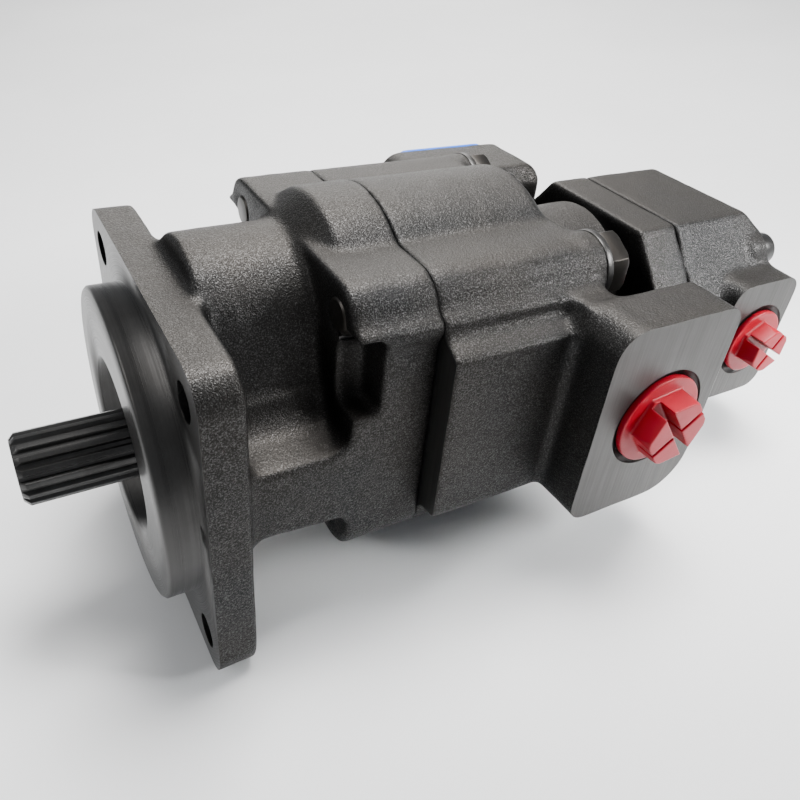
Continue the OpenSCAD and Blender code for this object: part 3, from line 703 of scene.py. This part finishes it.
def make_rear_housing():
    near_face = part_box("rear_gear_housing")[0].y
    seat = CAP_SCREW_SEAT
    spotface = bar("y", middle(REAR_OUTLET), 19.6 * MM, near_face - PAST, near_face + 1 * MM, spot_faced)
    counterbores = bars_x(bored_iron, 10 * MM, seat, seat + 20 * MM, [middle(box) for box in CAP_SCREWS])
    return casting(
        "rear_gear_housing_casting", "rear_gear_housing", 43.0, bored_iron,
        stock=rear_housing_bars(cast_iron) + bars_x(cast_iron, 10.5 * MM, seat - 8 * MM, seat + 3 * MM,
                                                   [middle(box) for box in CAP_SCREWS]),
        bores=rear_housing_bars(bored_iron),
        faces=[("x", REAR_JOINT_X, -REAR_SEAM_STOCK), ("y", near_face, -STOCK)],
        cuts=counterbores + [spotface,
                             beyond("x", REAR_JOINT_X + SEAM_GAP, -1, milled_joint),
                             beyond("y", near_face, -1, milled_port)])


# ------------------------------------------------------------------ steel, plastic and hidden pieces

def machined_piece(name, node, body, skin, bevel):
    """A turned or forged piece: the CAD node's own shape with its sharp edges broken."""
    obj = welded(node)
    bm = bmesh.new()
    bm.from_mesh(obj.data)
    bmesh.ops.dissolve_limit(bm, angle_limit=math.radians(0.6), verts=bm.verts, edges=bm.edges)
    bm.to_mesh(obj.data)
    bm.free()
    modifier = obj.modifiers.new("broken_edges", "BEVEL")
    modifier.width = bevel
    modifier.segments = 2
    modifier.limit_method = "ANGLE"
    modifier.angle_limit = math.radians(35)
    modifier.use_clamp_overlap = True
    apply_modifiers(obj)
    paint(obj, skin)
    stand_in(obj, name, node, body, sharp_angle=30)


def moulded_piece(name, node, body, skin, voxel):
    """An injection-moulded piece: the CAD node's shape with every edge softened."""
    obj = welded(node)
    voxel_remesh(obj, voxel)
    relax(obj.data, 6)
    paint(obj, skin)
    stand_in(obj, name, node, body, sharp_angle=60)


SLOT_SKINS = {"bronze": bronze, "ground_steel": ground_steel, "black_steel": black_oxide,
              "seal_rubber": rubber, "washer_steel": washer_steel}


def dress_hidden_nodes():
    """Gives the CAD nodes that stay as they are the finish of their material slot."""
    for row in frame["record"]["subparts"]:
        node = nodes[row["node"]]
        if node.hide_render:
            continue
        paint(node, SLOT_SKINS[row["material_slot"]])


make_front_cover()
make_gear_housing()
make_rear_cover()
make_rear_housing()
machined_piece("splined_drive_shaft", "drive_gear_shaft", "drive_line", black_oxide, 0.3 * MM)
machined_piece("hex_through_bolts", "through_bolts", HOUSING, bolt_steel, 0.5 * MM)
machined_piece("plain_washers", "bolt_washers", HOUSING, washer_steel, 0.3 * MM)
machined_piece("socket_cap_screws", "rear_cap_screws", HOUSING, black_oxide, 0.4 * MM)
moulded_piece("main_outlet_plug", "outlet_plug", "outlet_plug", red_plastic, 0.35 * MM)
moulded_piece("rear_section_outlet_plug", "rear_outlet_plug", "rear_outlet_plug", red_plastic,
              0.35 * MM)
moulded_piece("inlet_cover_plate", "inlet_cap", "inlet_cap", blue_plastic, 0.6 * MM)
dress_hidden_nodes()


# ------------------------------------------------------------------ floor, light and camera

# The pump leans back on the lower rear edge of its flange, so the floor rises towards the rear section
FLOOR_TILT = math.atan2(37.9, 269.0)
FLOOR_POINT = Vector((16 * MM, 0, -73.2 * MM))

CAMERA_PLACE = (-43.65 * MM, -245.53 * MM, 201.50 * MM)
VIEW_DIRECTION = Vector((0.44053, 0.67300, -0.59414))
CAMERA_ROLL = math.radians(6.365)
CAMERA_LENS = 33.629


def make_floor():
    mesh = bpy.data.meshes.new("floor")
    reach = 4.0
    tilt = Matrix.Rotation(-FLOOR_TILT, 4, "Y")
    corners = [(-reach, -reach, 0), (reach, -reach, 0), (reach, reach, 0), (-reach, reach, 0)]
    mesh.from_pydata([FLOOR_POINT + tilt @ Vector(corner) for corner in corners], [], [(0, 1, 2, 3)])
    skin = Skin("floor_skin")
    cloud = skin.noise(5, 3.0, 0.5)
    tooth = skin.noise(900, 2.0, 0.5)
    base = skin.mix(skin.ramp(cloud, 0.35, 0.65), grey(0.80, -0.01), grey(0.84, -0.01))
    mesh.materials.append(skin.set(Base_Color=base, Roughness=skin.ramp(tooth, 0.3, 0.7, 0.55, 0.65),
                                   Normal=skin.bump(tooth, 0.00005, 0.3)))
    floor = add_object("floor", mesh)


def area_light(name, place, target, size, power, colour=(1, 1, 1)):
    data = bpy.data.lights.new(name, "AREA")
    data.shape = "RECTANGLE"
    data.size, data.size_y = size
    data.energy = power
    data.color = colour
    obj = bpy.data.objects.new(name, data)
    bpy.context.scene.collection.objects.link(obj)
    obj.location = place
    obj.rotation_euler = (Vector(target) - Vector(place)).to_track_quat("-Z", "Y").to_euler()
    return obj


def make_light():
    target = (0.12, 0.0, 0.0)
    area_light("overhead_panel", (0.30, 0.10, 1.15), target, (0.60, 0.45), 37, (1.0, 0.99, 0.98))
    area_light("left_panel", (-0.95, 0.25, 0.55), target, (0.5, 0.5), 4, (1.0, 0.99, 0.98))
    area_light("back_panel", (0.55, 1.25, 0.75), target, (1.2, 0.8), 16, (1.0, 0.98, 0.95))
    rear_panel = area_light("rear_side_panel", (0.62, -0.45, 0.40), (0.27, -0.03, 0.02), (0.25, 0.25), 0.9)
    rear_panel.data.spread = math.radians(40)
    world = bpy.data.worlds.new("studio")
    world.use_nodes = True
    world.node_tree.nodes["Background"].inputs["Color"].default_value = (0.93, 0.96, 1.0, 1)
    world.node_tree.nodes["Background"].inputs["Strength"].default_value = 0.33
    bpy.context.scene.world = world


def make_camera():
    data = bpy.data.cameras.new("camera")
    data.lens = CAMERA_LENS
    data.sensor_width = 36
    camera = bpy.data.objects.new("camera", data)
    bpy.context.scene.collection.objects.link(camera)
    camera.location = CAMERA_PLACE
    level = VIEW_DIRECTION.to_track_quat("-Z", "Y")
    roll = Matrix.Rotation(CAMERA_ROLL, 4, "Z").to_quaternion()
    camera.rotation_mode = "QUATERNION"
    camera.rotation_quaternion = level @ roll
    data.clip_start = 0.01
    data.clip_end = 20
    bpy.context.scene.camera = camera


make_floor()
make_light()
make_camera()
